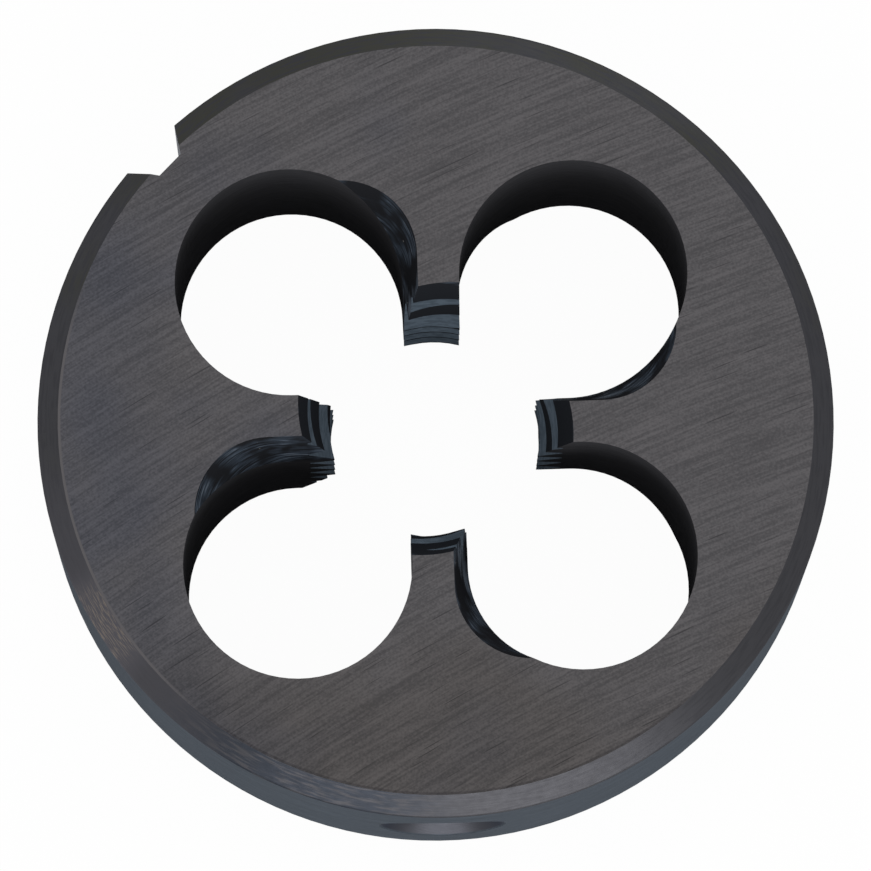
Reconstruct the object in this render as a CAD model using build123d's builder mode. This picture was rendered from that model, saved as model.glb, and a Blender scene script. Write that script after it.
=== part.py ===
from build123d import *
import os
from math import ceil, cos, radians, sin, tan

# Round die for cutting an M12 x 1.75 right-hand outside thread, made from one disc of steel.
# The origin is the centre of the back face, and +Z is the thread axis. The die can be used
# from either face: seen from the face that meets the rod, it turns anticlockwise to cut.

# Blank
outer_diameter = 38.0
thickness = 14.0
rim_chamfer = 1.0

# Thread: 60 degree profile with a crest flat of one eighth of the pitch
thread_diameter = 12.0
thread_pitch = 1.75
flank_half_angle = 30.0
root_clearance = 0.2
first_groove_height = 1.29

# Chip holes, one between each two lands
land_count = 4
chip_hole_diameter = 10.9
chip_hole_centre_radius = 9.6

# Lead-in: a cone on each land. Its axis is off the centre, away from the cutting edge, so
# that the heel of the land stands clear of the work.
lead_in_diameter = 13.08
lead_in_half_angle = 20.0
lead_in_relief = 0.77

# Gashes: one beside each cutting edge, ground into the land so that it has a keen edge. In
# plan each is round at its outer end and runs straight along the land to the crest. It
# leans away from the land and towards the bore, and runs out in the open chip hole.
gash_diameter = 7.24
gash_centre_radius = 8.0
gash_land_left = 0.63
gash_lean = 23.1
gash_lean_direction = 156.0
gash_depth = 6.0

# Notch across the rim, beside one chip hole
notch_angle = 134.2
notch_depth = 1.38
notch_floor_width = 1.45
notch_flank_angle = 34.0

# Conical seats in the rim for the screws of the die holder, one each side of the notch
seat_mouth_radius = 3.3
seat_half_angle = 45.0
seat_turn_from_notch = 135.0

# Sizes that follow from these
outer_radius = outer_diameter / 2
thread_radius = thread_diameter / 2
thread_depth = 5 / 8 * thread_pitch * cos(radians(flank_half_angle))
bore_radius = thread_radius - thread_depth
chip_hole_radius = chip_hole_diameter / 2
land_spacing = 360 / land_count
first_hole_angle = land_spacing / 2
half_spacing = radians(first_hole_angle)
land_half_width = chip_hole_centre_radius * sin(half_spacing) - chip_hole_radius
cut_margin = thickness / 10

# Cutter for one groove on one land: a trapezoid swept along a stretch of helix. It starts
# and ends in the chip holes, and its inner side lies in the open bore.
flank_slope = tan(radians(flank_half_angle))
groove_floor = thread_depth + root_clearance
groove_open_side = -thread_depth / 5
groove_width_at_bore = thread_pitch * 7 / 8
floor_half_width = groove_width_at_bore / 2 - groove_floor * flank_slope
open_half_width = groove_width_at_bore / 2 - groove_open_side * flank_slope
groove_sector = land_spacing * 4 / 5
groove_rise = thread_pitch * groove_sector / 360

with BuildPart() as groove:
    with BuildLine() as groove_path:
        Helix(
            pitch=thread_pitch,
            height=groove_rise,
            radius=bore_radius,
            center=(0, 0, -groove_rise / 2),
        )
    helix = groove_path.line
    with BuildSketch(Plane(helix @ 0, x_dir=(1, 0, 0), z_dir=helix % 0)):
        with BuildLine():
            Polyline(
                (groove_open_side, -open_half_width),
                (groove_floor, -floor_half_width),
                (groove_floor, floor_half_width),
                (groove_open_side, open_half_width),
                close=True,
            )
        make_face()
    sweep(path=helix, is_frenet=True)


# Cutter for one gash, drawn on the face beside the land that lies along +X
gash_radius = gash_diameter / 2
gash_strip = gash_radius / 2
lean_run = gash_depth * tan(radians(gash_lean))
gash_run = Vector(lean_run, 0, 0).rotate(Axis.Z, gash_lean_direction) - Vector(0, 0, gash_depth)

with BuildPart() as gash:
    with BuildSketch():
        with Locations((gash_centre_radius, gash_land_left + gash_radius)):
            Circle(gash_radius)
        with Locations((bore_radius - gash_strip, gash_land_left)):
            Rectangle(
                gash_centre_radius - bore_radius + gash_strip,
                gash_strip,
                align=(Align.MIN, Align.MIN),
            )
    extrude(amount=gash_run.length, dir=gash_run.normalized())
    extrude(gash.faces().sort_by(Axis.Z)[-1], amount=cut_margin)


with BuildPart() as die:
    # Blank, chamfered on both rims, and bored
    with BuildSketch():
        Circle(outer_radius)
    extrude(amount=thickness)
    chamfer(die.edges(), rim_chamfer)
    Hole(bore_radius)

    # Chip holes. Each opens to the bore through a throat with straight sides, so that the
    # lands keep parallel flanks from their narrowest point to their crests.
    throat_x = chip_hole_centre_radius - chip_hole_radius * sin(half_spacing)
    throat_y = chip_hole_radius * cos(half_spacing)
    with BuildSketch():
        with PolarLocations(0, land_count, start_angle=first_hole_angle):
            with Locations((chip_hole_centre_radius, 0)):
                Circle(chip_hole_radius)
            Polygon(
                (chip_hole_centre_radius, 0),
                (throat_x, throat_y),
                (land_half_width / sin(half_spacing), 0),
                (throat_x, -throat_y),
                align=None,
            )
    extrude(amount=thickness, mode=Mode.SUBTRACT)

    # Lead-in and gashes, the same on both faces
    mouth_radius = lead_in_diameter / 2
    inner_radius = bore_radius - lead_in_relief
    lead_in_sector = land_spacing * 2 / 3
    front = Plane((0, 0, thickness), x_dir=(1, 0, 0), z_dir=(0, 0, 1))
    back = Plane((0, 0, 0), x_dir=(1, 0, 0), z_dir=(0, 0, -1))
    for face in (front, back):
        with Locations(face.location):
            with PolarLocations(0, land_count):
                with Locations(Location((0, -lead_in_relief, 0), (0, 0, -lead_in_sector / 2))):
                    Cone(
                        bottom_radius=inner_radius,
                        top_radius=mouth_radius,
                        height=(mouth_radius - inner_radius) / tan(radians(lead_in_half_angle)),
                        arc_size=lead_in_sector,
                        align=(Align.NONE, Align.NONE, Align.MAX),
                        mode=Mode.SUBTRACT,
                    )
            with PolarLocations(0, land_count):
                add(gash.part, mode=Mode.SUBTRACT)

    # Thread. From one land to the next the groove climbs by that land's share of the pitch.
    for land in range(land_count):
        for turn in range(-1, ceil(thickness / thread_pitch) + 1):
            height = first_groove_height + thread_pitch * (turn + land / land_count)
            start_angle = land * land_spacing - groove_sector / 2
            with Locations(Location((0, 0, height), (0, 0, start_angle))):
                add(groove.part, mode=Mode.SUBTRACT)

    # Notch
    notch_mouth = notch_depth + rim_chamfer
    notch_mouth_half_width = notch_floor_width / 2 + notch_mouth * tan(radians(notch_flank_angle))
    with BuildSketch():
        with PolarLocations(outer_radius - notch_depth, 1, start_angle=notch_angle):
            Polygon(
                (0, -notch_floor_width / 2),
                (notch_mouth, -notch_mouth_half_width),
                (notch_mouth, notch_mouth_half_width),
                (0, notch_floor_width / 2),
                align=None,
            )
    extrude(amount=thickness, mode=Mode.SUBTRACT)

    # Screw seats: the outer half of each cone is in the air beyond the rim
    for side in (-1, 1):
        turn = notch_angle + side * seat_turn_from_notch
        with PolarLocations(outer_radius, 1, start_angle=turn):
            with Locations(Location((0, 0, thickness / 2), (0, 90, 0))):
                Cone(
                    bottom_radius=0,
                    top_radius=2 * seat_mouth_radius,
                    height=2 * seat_mouth_radius / tan(radians(seat_half_angle)),
                    mode=Mode.SUBTRACT,
                )

die.part.label = "die"
os.makedirs("parts", exist_ok=True)
export_step(die.part, "parts/die.step")
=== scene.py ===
from math import cos, pi, radians, sin

import bpy
from mathutils import Euler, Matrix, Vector

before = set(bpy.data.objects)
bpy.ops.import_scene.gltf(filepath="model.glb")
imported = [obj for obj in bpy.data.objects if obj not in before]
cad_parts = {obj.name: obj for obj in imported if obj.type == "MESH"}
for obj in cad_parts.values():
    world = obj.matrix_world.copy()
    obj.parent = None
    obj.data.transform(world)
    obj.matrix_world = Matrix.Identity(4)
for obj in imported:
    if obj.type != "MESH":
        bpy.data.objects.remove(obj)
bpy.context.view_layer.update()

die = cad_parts["die"]


# ---- Ground flats -------------------------------------------------------------------------
# The two flats of the hardened steel disc. A large cup wheel grinds them after hardening, which
# leaves fine curved lines over an even grain, and a faint blue and brown tint. A thin band at the
# outer edge carries a painted highlight on one side and painted shade on the near side.

MM_PER_M = 1000.0
grind_line_angle = radians(25.0)
wheel_radius = 140.0
flat_steel = (95, 93, 95)
flat_line_dark = (75, 74, 76)
flat_scratch = (64, 63, 65)
blue_film = (226, 232, 244)
brown_film = (243, 240, 235)
fine_line_share = 0.6
line_share = 0.62
texture_range = (0.36, 0.64)
scratch_range = (0.33, 0.26)
warm_per_mm = -0.03
warm_temper_share = 0.5
warm_range = (0.50, 0.70)
cold_per_mm = -0.018
cold_range = (0.58, 0.92)
flat_roughness = 0.34
flat_roughness_swing = 0.12
flat_relief = 0.012
face_normal_range = (0.95, 0.97)
# The thin band at the outer edge, its painted highlight and painted shade, and the directions where each
# lies.
painted_edge_band_range = (17.85, 17.90)
painted_edge_highlight = (91, 89, 91)
painted_edge_shade_film = (222, 222, 224)
painted_highlight_turn = radians(194.0)
painted_highlight_fade = radians(40.0)
painted_highlight_full = radians(22.0)
painted_shade_turn = radians(271.0)
painted_shade_fade = radians(46.0)
painted_shade_full = radians(34.0)


def tone(shade):
    """A colour given as three tones from 0 to 255, as the linear colour a shader takes."""
    parts = [value / 255.0 for value in shade]
    linear = [p / 12.92 if p <= 0.04045 else ((p + 0.055) / 1.055) ** 2.4 for p in parts]
    return (*linear, 1.0)


def put(tree, value, socket):
    """Feed a socket from another node's output, or set it to a plain value."""
    if isinstance(value, bpy.types.NodeSocket):
        tree.links.new(value, socket)
    else:
        socket.default_value = value


def calc(tree, operation, *values):
    """A Math node on sockets or numbers, and its output."""
    node = tree.nodes.new("ShaderNodeMath")
    node.operation = operation
    for value, socket in zip(values, node.inputs):
        put(tree, value, socket)
    return node.outputs["Value"]


def rise(tree, value, low, high):
    """0 where value is below low and 1 above high, smooth between them. low may be the larger."""
    node = tree.nodes.new("ShaderNodeMapRange")
    node.interpolation_type = "SMOOTHSTEP"
    put(tree, value, node.inputs["Value"])
    node.inputs["From Min"].default_value = low
    node.inputs["From Max"].default_value = high
    return node.outputs["Result"]


def mix(tree, mask, below, above):
    """The colour below where mask is 0 and the colour above where it is 1."""
    node = tree.nodes.new("ShaderNodeMix")
    node.data_type = "RGBA"
    put(tree, mask, node.inputs["Factor"])
    put(tree, below, node.inputs["A"])
    put(tree, above, node.inputs["B"])
    return node.outputs["Result"]


def seen_through(tree, mask, shade, film):
    """The colour shade, seen through a film of the given colour where mask is 1."""
    node = tree.nodes.new("ShaderNodeMix")
    node.data_type = "RGBA"
    node.blend_type = "MULTIPLY"
    put(tree, mask, node.inputs["Factor"])
    put(tree, shade, node.inputs["A"])
    put(tree, film, node.inputs["B"])
    return node.outputs["Result"]


def speckle(tree, place, spacing, detail=2.0, stretch=(1.0, 1.0, 1.0)):
    """Noise from 0 to 1 whose blotches are about spacing mm apart, times stretch each way."""
    shrink = tree.nodes.new("ShaderNodeVectorMath")
    shrink.operation = "MULTIPLY"
    put(tree, place, shrink.inputs[0])
    shrink.inputs[1].default_value = [1.0 / (spacing * part) for part in stretch]
    noise = tree.nodes.new("ShaderNodeTexNoise")
    noise.inputs["Scale"].default_value = 1.0
    noise.inputs["Detail"].default_value = detail
    put(tree, shrink.outputs["Vector"], noise.inputs["Vector"])
    return noise.outputs["Fac"]


def begin_finish(name):
    """A node group for one finish: it takes Place in mm and Facing, and puts out its look."""
    tree = bpy.data.node_groups.new(name, "ShaderNodeTree")
    tree.interface.new_socket("Place", in_out="INPUT", socket_type="NodeSocketVector")
    tree.interface.new_socket("Facing", in_out="INPUT", socket_type="NodeSocketVector")
    tree.interface.new_socket("Mask", in_out="OUTPUT", socket_type="NodeSocketFloat")
    tree.interface.new_socket("Color", in_out="OUTPUT", socket_type="NodeSocketColor")
    tree.interface.new_socket("Roughness", in_out="OUTPUT", socket_type="NodeSocketFloat")
    tree.interface.new_socket("Metallic", in_out="OUTPUT", socket_type="NodeSocketFloat")
    tree.interface.new_socket("Height", in_out="OUTPUT", socket_type="NodeSocketFloat")
    inputs = tree.nodes.new("NodeGroupInput")
    return tree, inputs.outputs["Place"], inputs.outputs["Facing"]


def end_finish(tree, **looks):
    """Join the five looks of a finish to what its group puts out."""
    outputs = tree.nodes.new("NodeGroupOutput")
    for name, value in looks.items():
        put(tree, value, outputs.inputs[name])


def axes(tree, vector):
    """The x, y and z of a vector."""
    node = tree.nodes.new("ShaderNodeSeparateXYZ")
    put(tree, vector, node.inputs["Vector"])
    return node.outputs["X"], node.outputs["Y"], node.outputs["Z"]


def joined(tree, x, y, z):
    """A vector from its x, y and z."""
    node = tree.nodes.new("ShaderNodeCombineXYZ")
    for value, socket in zip((x, y, z), node.inputs):
        put(tree, value, socket)
    return node.outputs["Vector"]


def length(tree, x, y):
    """How far the point x, y lies from the origin."""
    squares = calc(tree, "ADD", calc(tree, "MULTIPLY", x, x), calc(tree, "MULTIPLY", y, y))
    return calc(tree, "SQRT", squares)


def near_turn(tree, x, y, turn, fade, full):
    """1 where x, y lies within the angle full of the direction turn, 0 beyond the angle fade."""
    forward = calc(tree, "MULTIPLY_ADD", x, cos(turn), calc(tree, "MULTIPLY", y, sin(turn)))
    return rise(tree, calc(tree, "DIVIDE", forward, length(tree, x, y)), cos(fade), cos(full))


tree, place, facing = begin_finish("ground flat")
x, y, z = axes(tree, place)
wheel_x = calc(tree, "SUBTRACT", x, wheel_radius * sin(grind_line_angle))
wheel_y = calc(tree, "ADD", y, wheel_radius * cos(grind_line_angle))
swept = calc(tree, "MULTIPLY", calc(tree, "ARCTAN2", wheel_y, wheel_x), wheel_radius)
along_lines = joined(tree, swept, length(tree, wheel_x, wheel_y), z)
fine_lines = speckle(tree, along_lines, spacing=0.09, stretch=(24.0, 1.0, 1.0))
broad_lines = speckle(tree, along_lines, spacing=0.24, stretch=(26.0, 1.0, 1.0))
scratches = speckle(tree, along_lines, spacing=0.10, detail=1.0, stretch=(36.0, 1.0, 1.0))
grain = speckle(tree, place, spacing=0.11)
temper = speckle(tree, place, spacing=9.0)
mottle = speckle(tree, place, spacing=1.1, detail=3.0)
broad_part = calc(tree, "MULTIPLY", broad_lines, 1.0 - fine_line_share)
lines = calc(tree, "MULTIPLY_ADD", fine_lines, fine_line_share, broad_part)
grain_part = calc(tree, "MULTIPLY", grain, 1.0 - line_share)
texture = calc(tree, "MULTIPLY_ADD", lines, line_share, grain_part)
shade = mix(tree, rise(tree, texture, *texture_range), tone(flat_line_dark), tone(flat_steel))
shade = mix(tree, rise(tree, scratches, *scratch_range), shade, tone(flat_scratch))
temper_part = calc(tree, "MULTIPLY", temper, warm_temper_share)
warm_side = calc(tree, "MULTIPLY_ADD", y, warm_per_mm, temper_part)
shade = seen_through(tree, rise(tree, warm_side, *warm_range), shade, tone(brown_film))
cold_side = calc(tree, "MULTIPLY_ADD", x, cold_per_mm, temper)
shade = seen_through(tree, rise(tree, cold_side, *cold_range), shade, tone(blue_film))
# Painted highlight along the outer edge band on one side.
painted_edge_band = rise(tree, length(tree, x, y), *painted_edge_band_range)
painted_highlight_side = near_turn(tree, x, y, painted_highlight_turn, painted_highlight_fade, painted_highlight_full)
shade = mix(tree, calc(tree, "MULTIPLY", painted_edge_band, painted_highlight_side), shade, tone(painted_edge_highlight))
# Painted shade along the outer edge band on the near side.
painted_shade_side = near_turn(tree, x, y, painted_shade_turn, painted_shade_fade, painted_shade_full)
painted_edge_shadow = calc(tree, "MULTIPLY", painted_edge_band, painted_shade_side)
shade = seen_through(tree, painted_edge_shadow, shade, tone(painted_edge_shade_film))
nz = axes(tree, facing)[2]
end_finish(
    tree,
    Mask=rise(tree, calc(tree, "ABSOLUTE", nz), *face_normal_range),
    Color=shade,
    Roughness=calc(tree, "MULTIPLY_ADD", mottle, flat_roughness_swing, flat_roughness),
    Metallic=1.0,
    Height=calc(tree, "MULTIPLY", lines, flat_relief),
)
ground_flat = tree


# ---- Turned rim ---------------------------------------------------------------------------
# The outer wall with its seats and notch, and the chamfer at each end. They are turned before
# hardening and left black, so fine rings run round them. One patch of the chamfer is painted
# lighter, partly wear and partly a painted highlight, with painted glints in it.

rim_start_range = (15.25, 15.35)
wall_radius = 19.0
mid_height = 7.0
radius_in_rings = 3.0
ring_range = (0.35, 0.62)
below_wall_range = (18.97, 18.90)
chamfer_level_range = (5.95, 6.02)
chamfer_slope_range = (0.4, 0.6)
wall_blue = (66, 72, 79)
wall_dark = (57, 62, 68)
pit_grey = (62, 63, 68)
chamfer_black = (62, 62, 65)
chamfer_olive = (60, 60, 56)
chamfer_blue = (44, 47, 53)
chamfer_groove = (58, 58, 61)
# The lighter chamfer patch: partly wear, partly a painted highlight; its glint colour is a painted
# highlight.
chamfer_wear_and_highlight = (80, 79, 84)
chamfer_glint = (110, 103, 98)
olive_per_mm = 0.02
olive_range = (0.60, 0.90)
groove_range = (0.55, 0.36)
blue_turn = radians(246.0)
blue_fade = radians(28.0)
blue_full = radians(8.0)
wear_and_highlight_turn = radians(210.0)
wear_and_highlight_fade = radians(30.0)
wear_and_highlight_full = radians(8.0)
wear_and_highlight_middle_fade = radians(10.0)
wear_and_highlight_middle_share = 0.6
glint_fade = radians(7.5)
glint_full = radians(2.5)
glint_range = (0.47, 0.62)
wall_metallic = 0.15
rim_roughness = 0.28
rim_roughness_swing = 0.2
ring_relief = 0.008


tree, place, facing = begin_finish("turned rim")
x, y, z = axes(tree, place)
nz = axes(tree, facing)[2]
radius = length(tree, x, y)
around = calc(tree, "MULTIPLY", calc(tree, "ARCTAN2", y, x), wall_radius)
across = calc(tree, "MULTIPLY_ADD", radius, radius_in_rings, z)
unrolled = joined(tree, around, across, 0.0)
rings = speckle(tree, unrolled, spacing=0.16, stretch=(24.0, 1.0, 1.0))
patches = speckle(tree, place, spacing=5.5, detail=3.0)
grit = speckle(tree, place, spacing=0.35, detail=3.0)
from_middle = calc(tree, "ABSOLUTE", calc(tree, "SUBTRACT", z, mid_height))
on_chamfer = calc(
    tree,
    "MULTIPLY",
    rise(tree, from_middle, *chamfer_level_range),
    rise(tree, calc(tree, "ABSOLUTE", nz), *chamfer_slope_range),
)
below_wall = rise(tree, radius, *below_wall_range)
wall = mix(tree, rise(tree, rings, *ring_range), tone(wall_dark), tone(wall_blue))
wall = mix(tree, below_wall, wall, tone(pit_grey))
far_side = calc(tree, "MULTIPLY_ADD", y, olive_per_mm, patches)
olive = rise(tree, far_side, *olive_range)
chamfer = mix(tree, olive, tone(chamfer_black), tone(chamfer_olive))
near_blue = near_turn(tree, x, y, blue_turn, blue_fade, blue_full)
chamfer = mix(tree, near_blue, chamfer, tone(chamfer_blue))
turned_grain = speckle(tree, unrolled, spacing=0.22, stretch=(6.0, 1.0, 1.0))
chamfer = mix(tree, rise(tree, turned_grain, *groove_range), chamfer, tone(chamfer_groove))
# The lighter chamfer patch, partly wear and partly a painted highlight.
wear_and_highlight_round = near_turn(tree, x, y, wear_and_highlight_turn, wear_and_highlight_fade, wear_and_highlight_full)
wear_and_highlight_middle = near_turn(tree, x, y, wear_and_highlight_turn, wear_and_highlight_middle_fade, 0.0)
wear_and_highlight_part = calc(tree, "MULTIPLY", wear_and_highlight_round, 1.0 - wear_and_highlight_middle_share)
wear_and_highlight = calc(tree, "MULTIPLY_ADD", wear_and_highlight_middle, wear_and_highlight_middle_share, wear_and_highlight_part)
# Painted glints within the lighter chamfer patch.
glint_streaks = speckle(tree, unrolled, spacing=0.09, detail=3.0, stretch=(6.0, 1.0, 1.0))
glints = calc(
    tree,
    "MULTIPLY",
    near_turn(tree, x, y, wear_and_highlight_turn, glint_fade, glint_full),
    rise(tree, glint_streaks, *glint_range),
)
chamfer = mix(tree, wear_and_highlight, chamfer, tone(chamfer_wear_and_highlight))
chamfer = mix(tree, glints, chamfer, tone(chamfer_glint))
shade = mix(tree, on_chamfer, wall, chamfer)
end_finish(
    tree,
    Mask=rise(tree, radius, *rim_start_range),
    Color=shade,
    Roughness=calc(tree, "MULTIPLY_ADD", grit, rim_roughness_swing, rim_roughness),
    Metallic=calc(tree, "MULTIPLY_ADD", below_wall, 1.0 - wall_metallic, wall_metallic),
    Height=calc(tree, "MULTIPLY", rings, ring_relief),
)
turned_rim = tree


# ---- Chip holes ---------------------------------------------------------------------------
# The four drilled holes round the thread, which let chips and cutting oil out. Their walls
# and the straight throats beside the lands keep the black scale of the heat treatment.

hole_radius = 5.45
hole_offset = 9.6 * cos(pi / 4)
throat_half_width = 1.338
scale_black = (42, 42, 44)
scale_grey = (58, 58, 61)
hole_wall_range = (0.10, 0.06)
throat_range = (0.06, 0.03)
facing_hole_range = (-0.98, -0.995)
squarely_range = (0.98, 0.995)
scale_roughness = 0.6
drill_relief = 0.03

tree, place, facing = begin_finish("black scale")
x, y = axes(tree, place)[:2]
nx, ny = axes(tree, facing)[:2]
side_x = calc(tree, "ABSOLUTE", x)
side_y = calc(tree, "ABSOLUTE", y)
from_x = calc(tree, "SUBTRACT", side_x, hole_offset)
from_y = calc(tree, "SUBTRACT", side_y, hole_offset)
from_hole = length(tree, from_x, from_y)
facing_x = calc(tree, "MULTIPLY", nx, calc(tree, "SIGN", x))
facing_y = calc(tree, "MULTIPLY", ny, calc(tree, "SIGN", y))
outward = calc(
    tree, "ADD", calc(tree, "MULTIPLY", from_x, facing_x), calc(tree, "MULTIPLY", from_y, facing_y)
)
outward = calc(tree, "DIVIDE", outward, from_hole)
off_wall = calc(tree, "ABSOLUTE", calc(tree, "SUBTRACT", from_hole, hole_radius))
on_wall = calc(
    tree,
    "MULTIPLY",
    rise(tree, off_wall, *hole_wall_range),
    rise(tree, outward, *facing_hole_range),
)
nearest_land = calc(tree, "MINIMUM", side_x, side_y)
off_throat = calc(tree, "ABSOLUTE", calc(tree, "SUBTRACT", nearest_land, throat_half_width))
squarely = calc(tree, "MAXIMUM", calc(tree, "ABSOLUTE", nx), calc(tree, "ABSOLUTE", ny))
on_throat = calc(
    tree,
    "MULTIPLY",
    rise(tree, off_throat, *throat_range),
    rise(tree, squarely, *squarely_range),
)
drill_marks = speckle(tree, place, spacing=0.5, detail=3.0, stretch=(3.0, 3.0, 0.6))
end_finish(
    tree,
    Mask=calc(tree, "MAXIMUM", on_wall, on_throat),
    Color=mix(tree, drill_marks, tone(scale_black), tone(scale_grey)),
    Roughness=scale_roughness,
    Metallic=0.0,
    Height=calc(tree, "MULTIPLY", drill_marks, drill_relief),
)
black_scale = tree


# ---- Gashes -------------------------------------------------------------------------------
# The slanting cuts that give each land its cutting edge at both ends. A small wheel grinds
# them after hardening, which leaves curved streaks in a dark burnished surface. The blue sheen
# and the bright glints along the streaks are painted highlights.

gash_dark = (31, 32, 35)
# The blue sheen and the glint colour are painted highlights.
gash_painted_sheen = (63, 72, 83)
gash_glint = (112, 121, 132)
gash_speck = (120, 120, 118)
burnish_and_sheen_patch_range = (0.41, 0.63)
burnish_and_sheen_streak_range = (0.36, 0.6)
glint_patch_range = (0.52, 0.64)
glint_streak_range = (0.54, 0.70)
dust_range = (0.85, 0.88)
gash_roughness = 0.25
gash_roughness_swing = 0.25
gash_metallic = 0.4
streak_relief = 0.02

tree, place = begin_finish("ground gash")[:2]
streaks = speckle(tree, place, spacing=0.12, detail=4.0, stretch=(14.0, 14.0, 1.0))
patches = speckle(tree, place, spacing=1.7)
dust = speckle(tree, place, spacing=0.32, detail=0.0)
# Burnished metal, more metallic, with a painted blue sheen in its colour.
burnish_and_sheen = calc(
    tree,
    "MULTIPLY",
    rise(tree, patches, *burnish_and_sheen_patch_range),
    rise(tree, streaks, *burnish_and_sheen_streak_range),
)
shade = mix(tree, burnish_and_sheen, tone(gash_dark), tone(gash_painted_sheen))
# Painted glints along the streaks.
glints = calc(
    tree,
    "MULTIPLY",
    rise(tree, streaks, *glint_streak_range),
    rise(tree, patches, *glint_patch_range),
)
shade = mix(tree, glints, shade, tone(gash_glint))
shade = mix(tree, rise(tree, dust, *dust_range), shade, tone(gash_speck))
end_finish(
    tree,
    Mask=1.0,
    Color=shade,
    Roughness=calc(tree, "MULTIPLY_ADD", streaks, gash_roughness_swing, gash_roughness),
    Metallic=calc(tree, "MULTIPLY", burnish_and_sheen, gash_metallic),
    Height=calc(tree, "MULTIPLY", streaks, streak_relief),
)
ground_gash = tree


# ---- Cut thread ---------------------------------------------------------------------------
# The thread on the four lands and the lead-in cone at each end. The flanks are lapped
# smooth and look blue grey, and the roots and crests between them are painted darker as shade.

bore_edge_range = (6.6, 6.5)
out_of_line_range = (0.10, 0.05)
flank_normal_range = (0.6, 0.7)
polish_range = (0.35, 0.65)
flank_roughness = 0.28
flank_roughness_swing = 0.16
flank_relief = 0.006
flank_blue = (65, 74, 83)
flank_dark = (54, 62, 70)
root_and_crest_painted_shade = (31, 33, 37)

tree, place, facing = begin_finish("cut thread")
x, y, z = axes(tree, place)
nx, ny, nz = axes(tree, facing)
radius = length(tree, x, y)
towards_axis = calc(tree, "ADD", calc(tree, "MULTIPLY", x, nx), calc(tree, "MULTIPLY", y, ny))
towards_axis = calc(tree, "DIVIDE", towards_axis, radius)
level = length(tree, nx, ny)
out_of_line = calc(tree, "ADD", towards_axis, level)
in_bore = calc(
    tree,
    "MULTIPLY",
    rise(tree, radius, *bore_edge_range),
    rise(tree, out_of_line, *out_of_line_range),
)
round_bore = joined(tree, radius, z, calc(tree, "ARCTAN2", y, x))
polish = speckle(tree, round_bore, spacing=0.09, detail=3.0)
flank = mix(tree, rise(tree, polish, *polish_range), tone(flank_dark), tone(flank_blue))
on_flank = rise(tree, calc(tree, "ABSOLUTE", nz), *flank_normal_range)
end_finish(
    tree,
    Mask=in_bore,
    # Roots, crests and the lead-in cone get painted shade; the flanks keep their blue grey.
    Color=mix(tree, on_flank, tone(root_and_crest_painted_shade), flank),
    Roughness=calc(tree, "MULTIPLY_ADD", polish, flank_roughness_swing, flank_roughness),
    Metallic=on_flank,
    Height=calc(tree, "MULTIPLY", polish, flank_relief),
)
cut_thread = tree


# ---- The whole die ------------------------------------------------------------------------
# One piece of hardened tool steel. Each finish covers its own surfaces, laid one over the
# other from the gashes outwards, and the ground flats come last, as they do in the shop.

grazing_tint = (0.44, 0.46, 0.50, 1.0)
bump_strength = 0.6

steel = bpy.data.materials.new("hardened die steel")
steel.use_nodes = True
tree = steel.node_tree
tree.nodes.clear()
surface = tree.nodes.new("ShaderNodeBsdfPrincipled")
surface.inputs["Specular IOR Level"].default_value = 0.0
surface.inputs["Specular Tint"].default_value = grazing_tint
coordinates = tree.nodes.new("ShaderNodeTexCoord")
in_mm = tree.nodes.new("ShaderNodeVectorMath")
in_mm.operation = "SCALE"
in_mm.inputs["Scale"].default_value = MM_PER_M
put(tree, coordinates.outputs["Object"], in_mm.inputs[0])
looks = None
for finish in (ground_gash, black_scale, cut_thread, turned_rim, ground_flat):
    layer = tree.nodes.new("ShaderNodeGroup")
    layer.node_tree = finish
    put(tree, in_mm.outputs["Vector"], layer.inputs["Place"])
    put(tree, coordinates.outputs["Normal"], layer.inputs["Facing"])
    if looks is None:
        looks = {name: layer.outputs[name] for name in ("Color", "Roughness", "Metallic", "Height")}
        continue
    mask = layer.outputs["Mask"]
    looks["Color"] = mix(tree, mask, looks["Color"], layer.outputs["Color"])
    for name in ("Roughness", "Metallic", "Height"):
        over = calc(tree, "MULTIPLY", layer.outputs[name], mask)
        under = calc(tree, "MULTIPLY", looks[name], calc(tree, "SUBTRACT", 1.0, mask))
        looks[name] = calc(tree, "ADD", over, under)
bump = tree.nodes.new("ShaderNodeBump")
bump.inputs["Strength"].default_value = bump_strength
bump.inputs["Distance"].default_value = 1.0 / MM_PER_M
put(tree, looks["Height"], bump.inputs["Height"])
put(tree, looks["Color"], surface.inputs["Base Color"])
put(tree, looks["Roughness"], surface.inputs["Roughness"])
put(tree, looks["Metallic"], surface.inputs["Metallic"])
put(tree, bump.outputs["Normal"], surface.inputs["Normal"])
output = tree.nodes.new("ShaderNodeOutputMaterial")
put(tree, surface.outputs["BSDF"], output.inputs["Surface"])
die.material_slots[0].material = steel


# ---- Floor and studio ---------------------------------------------------------------------
# A plain white floor with the die lying flat on it. One low soft lamp stands at the near
# side and a weaker one at the far side, and the floor keeps a faint shadow.

floor_half_width = 1.5
floor_white = 0.95
floor_glow_share = 0.97
diffuse_level = 0.8
near_lamp_turn = radians(272.0)
near_lamp_size = (1.0, 0.35)
near_lamp_power = 3.9
far_lamp_turn = radians(72.0)
far_lamp_size = (0.5, 0.25)
far_lamp_power = 0.9
lamp_distance = 0.70
lamp_height = 0.16
lamp_aim = (0.0, 0.0, 0.007)

floor_mesh = bpy.data.meshes.new("floor")
corners = [(-1, -1), (1, -1), (1, 1), (-1, 1)]
floor_mesh.from_pydata(
    [(floor_half_width * a, floor_half_width * b, 0.0) for a, b in corners], [], [(0, 1, 2, 3)]
)
floor = bpy.data.objects.new("floor", floor_mesh)
bpy.context.scene.collection.objects.link(floor)


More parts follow.
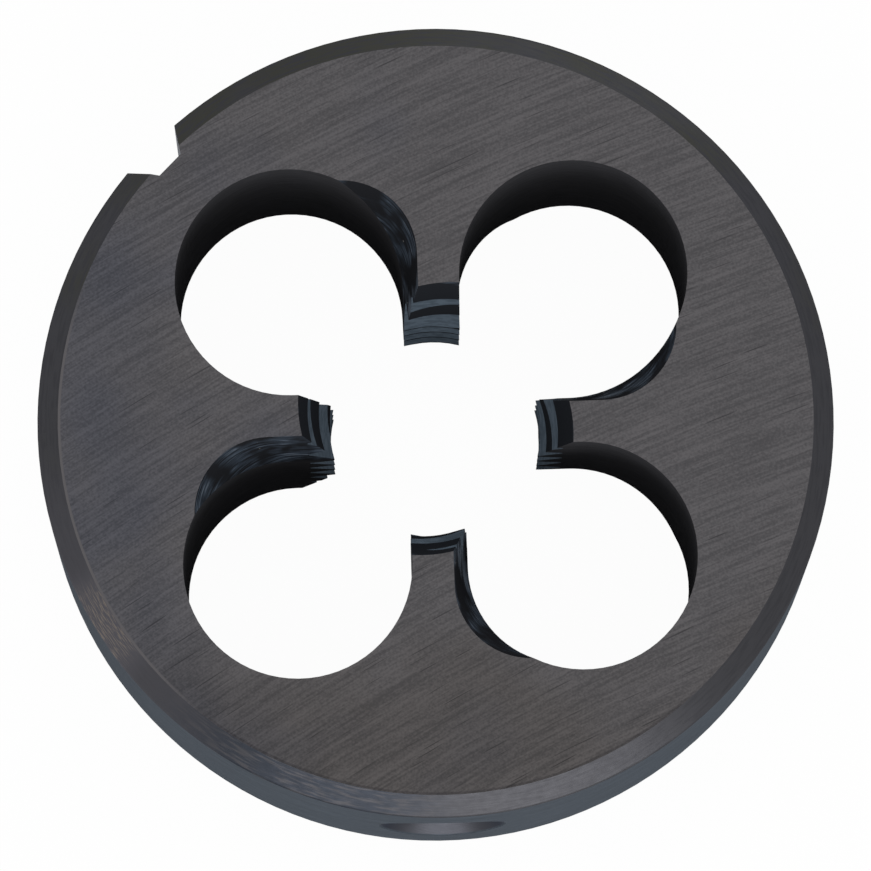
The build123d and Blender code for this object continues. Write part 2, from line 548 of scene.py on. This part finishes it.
def seen_directly(tree):
    """1 for what the camera, a reflection or a see-through surface meets, 0 for other light."""
    path = tree.nodes.new("ShaderNodeLightPath")
    reflected = calc(tree, "MAXIMUM", path.outputs["Is Glossy Ray"], path.outputs["Is Transmission Ray"])
    return calc(tree, "MAXIMUM", path.outputs["Is Camera Ray"], reflected)


paper = bpy.data.materials.new("white floor")
paper.use_nodes = True
tree = paper.node_tree
tree.nodes.clear()
matt = tree.nodes.new("ShaderNodeBsdfDiffuse")
matt.inputs["Color"].default_value = (floor_white, floor_white, floor_white, 1.0)
glow = tree.nodes.new("ShaderNodeEmission")
glow.inputs["Strength"].default_value = 1.0
blend = tree.nodes.new("ShaderNodeMixShader")
put(tree, calc(tree, "MULTIPLY", seen_directly(tree), floor_glow_share), blend.inputs["Fac"])
put(tree, matt.outputs["BSDF"], blend.inputs[1])
put(tree, glow.outputs["Emission"], blend.inputs[2])
output = tree.nodes.new("ShaderNodeOutputMaterial")
put(tree, blend.outputs["Shader"], output.inputs["Surface"])
floor_mesh.materials.append(paper)

world = bpy.data.worlds.new("studio")
world.use_nodes = True
tree = world.node_tree
background = tree.nodes["Background"]
background.inputs["Color"].default_value = (1.0, 1.0, 1.0, 1.0)
strength = calc(tree, "MULTIPLY_ADD", seen_directly(tree), 1.0 - diffuse_level, diffuse_level)
put(tree, strength, background.inputs["Strength"])
bpy.context.scene.world = world


def hang_lamp(name, turn, size, power):
    """A soft rectangular lamp that hangs in the direction turn and points at the die."""
    place = (lamp_distance * cos(turn), lamp_distance * sin(turn), lamp_height)
    lamp = bpy.data.lights.new(name, "AREA")
    lamp.shape = "RECTANGLE"
    lamp.size, lamp.size_y = size
    lamp.energy = power
    holder = bpy.data.objects.new(name, lamp)
    holder.location = place
    holder.rotation_euler = (Vector(lamp_aim) - Vector(place)).to_track_quat("-Z", "Y").to_euler()
    bpy.context.scene.collection.objects.link(holder)


hang_lamp("near_lamp", near_lamp_turn, near_lamp_size, near_lamp_power)
hang_lamp("far_lamp", far_lamp_turn, far_lamp_size, far_lamp_power)


# ---- Camera -------------------------------------------------------------------------------
# The camera looks almost straight down from the near side through a long lens, and aims
# just off the middle of the upper face.

view_distance = 0.4533
view_aim = Vector((-0.00004, -0.00082, 0.014))
view_turns = Euler((radians(7.592), radians(-0.290), radians(-1.895)))
lens_mm = 393.6
sensor_mm = 36.0

camera_data = bpy.data.cameras.new("camera")
camera_data.lens = lens_mm
camera_data.sensor_width = sensor_mm
camera = bpy.data.objects.new("camera", camera_data)
backwards = view_turns.to_matrix() @ Vector((0.0, 0.0, 1.0))
camera.location = view_aim + view_distance * backwards
camera.rotation_euler = view_turns
bpy.context.scene.collection.objects.link(camera)
bpy.context.scene.camera = camera
bpy.context.scene.view_settings.view_transform = "Standard"
